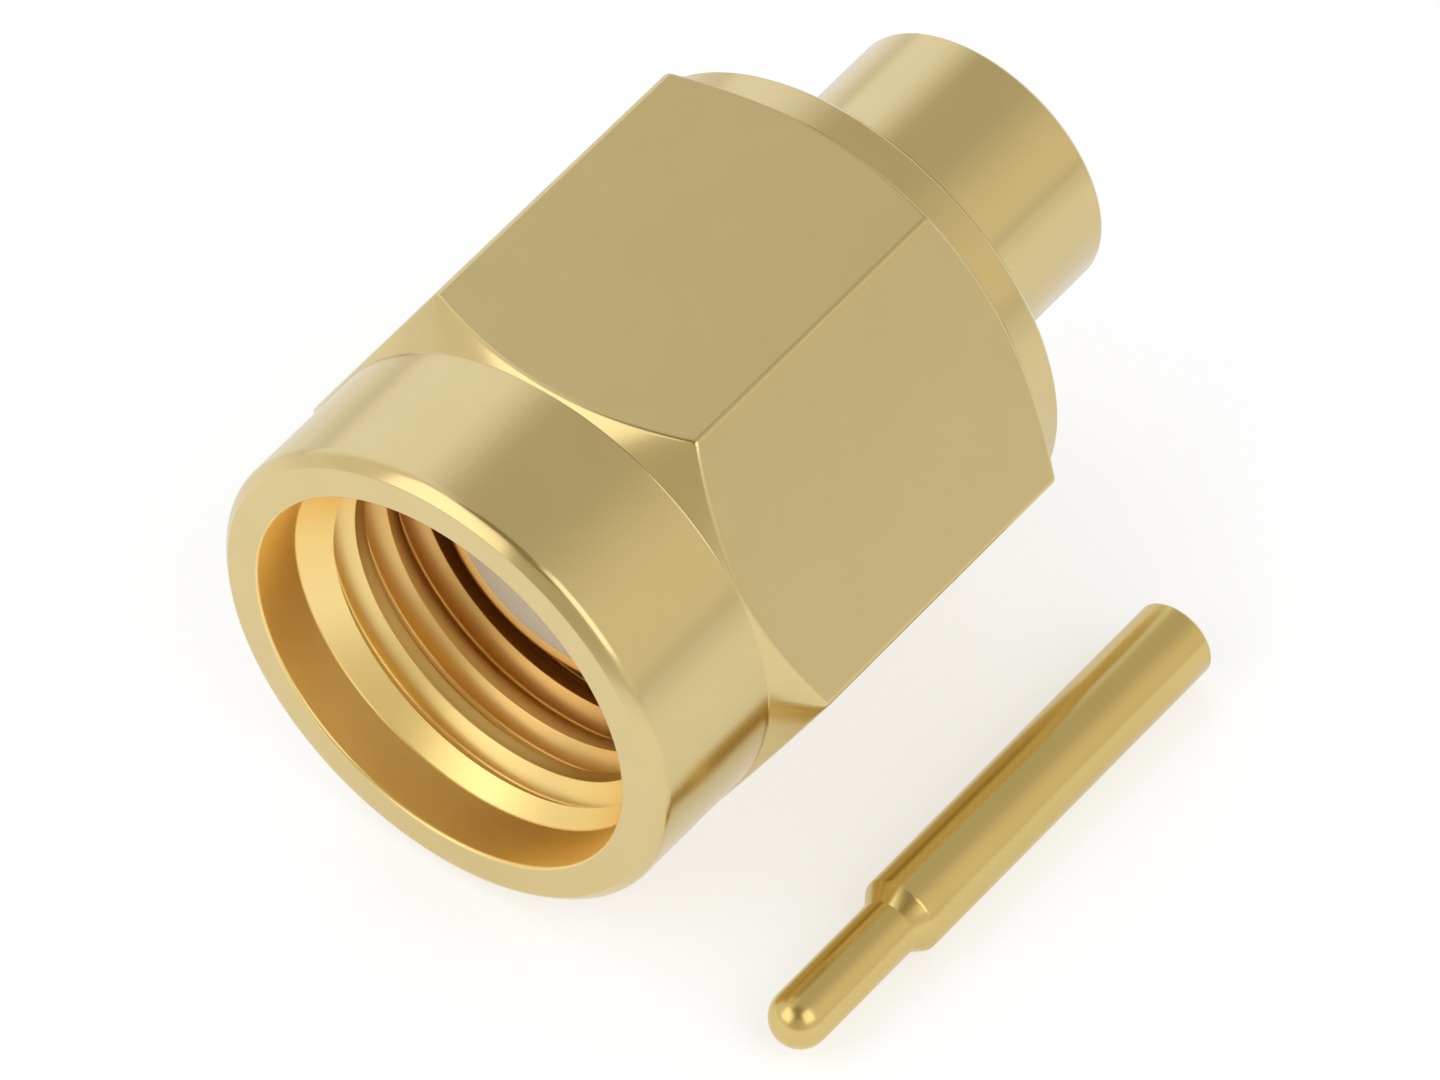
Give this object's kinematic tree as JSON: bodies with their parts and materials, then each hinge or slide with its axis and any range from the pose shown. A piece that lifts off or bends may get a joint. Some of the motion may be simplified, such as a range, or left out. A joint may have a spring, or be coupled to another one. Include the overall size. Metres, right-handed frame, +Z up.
{
  "type": "rf coaxial connector",
  "caption": "Straight coaxial plug with a threaded hexagonal coupling nut that spins and floats, a solder sleeve for semi-rigid cable, and its loose centre contact.",
  "frame": {"origin": "on the plug's axis, at the front face of the outer contact, which is its reference plane", "axes": "+Y along the plug's axis from the mating end towards the cable, +Z up from the flat that it lies on, +X towards the loose centre contact"},
  "size_m": [0.0113, 0.0127, 0.008],
  "materials": {
    "nut_gold": "gold plated over machined brass, satin",
    "body_gold": "gold plated over machined brass, bright",
    "contact_gold": "gold plated beryllium copper, bright",
    "ring_bronze": "bare phosphor bronze",
    "insulator_white": "white fluoropolymer, waxy",
    "gasket_red": "silicone rubber, dull"
  },
  "bodies": {
    "plug": {"connector_body": "body_gold", "insulator": "insulator_white", "gasket": "gasket_red", "center_contact": "contact_gold"},
    "ring": {"retaining_ring": "ring_bronze"},
    "nut": {"coupling_nut": "nut_gold"}
  },
  "joints": [
    {"name": "nut_float", "type": "slide", "parent": "plug", "child": "ring", "axis": [0, 1, 0], "range_m": [-0.00015, 0.00015]},
    {"name": "nut_spin", "type": "hinge", "parent": "ring", "child": "nut", "pos_m": [0, 0.0046, 0], "axis": [0, 1, 0], "continuous": true}
  ]
}
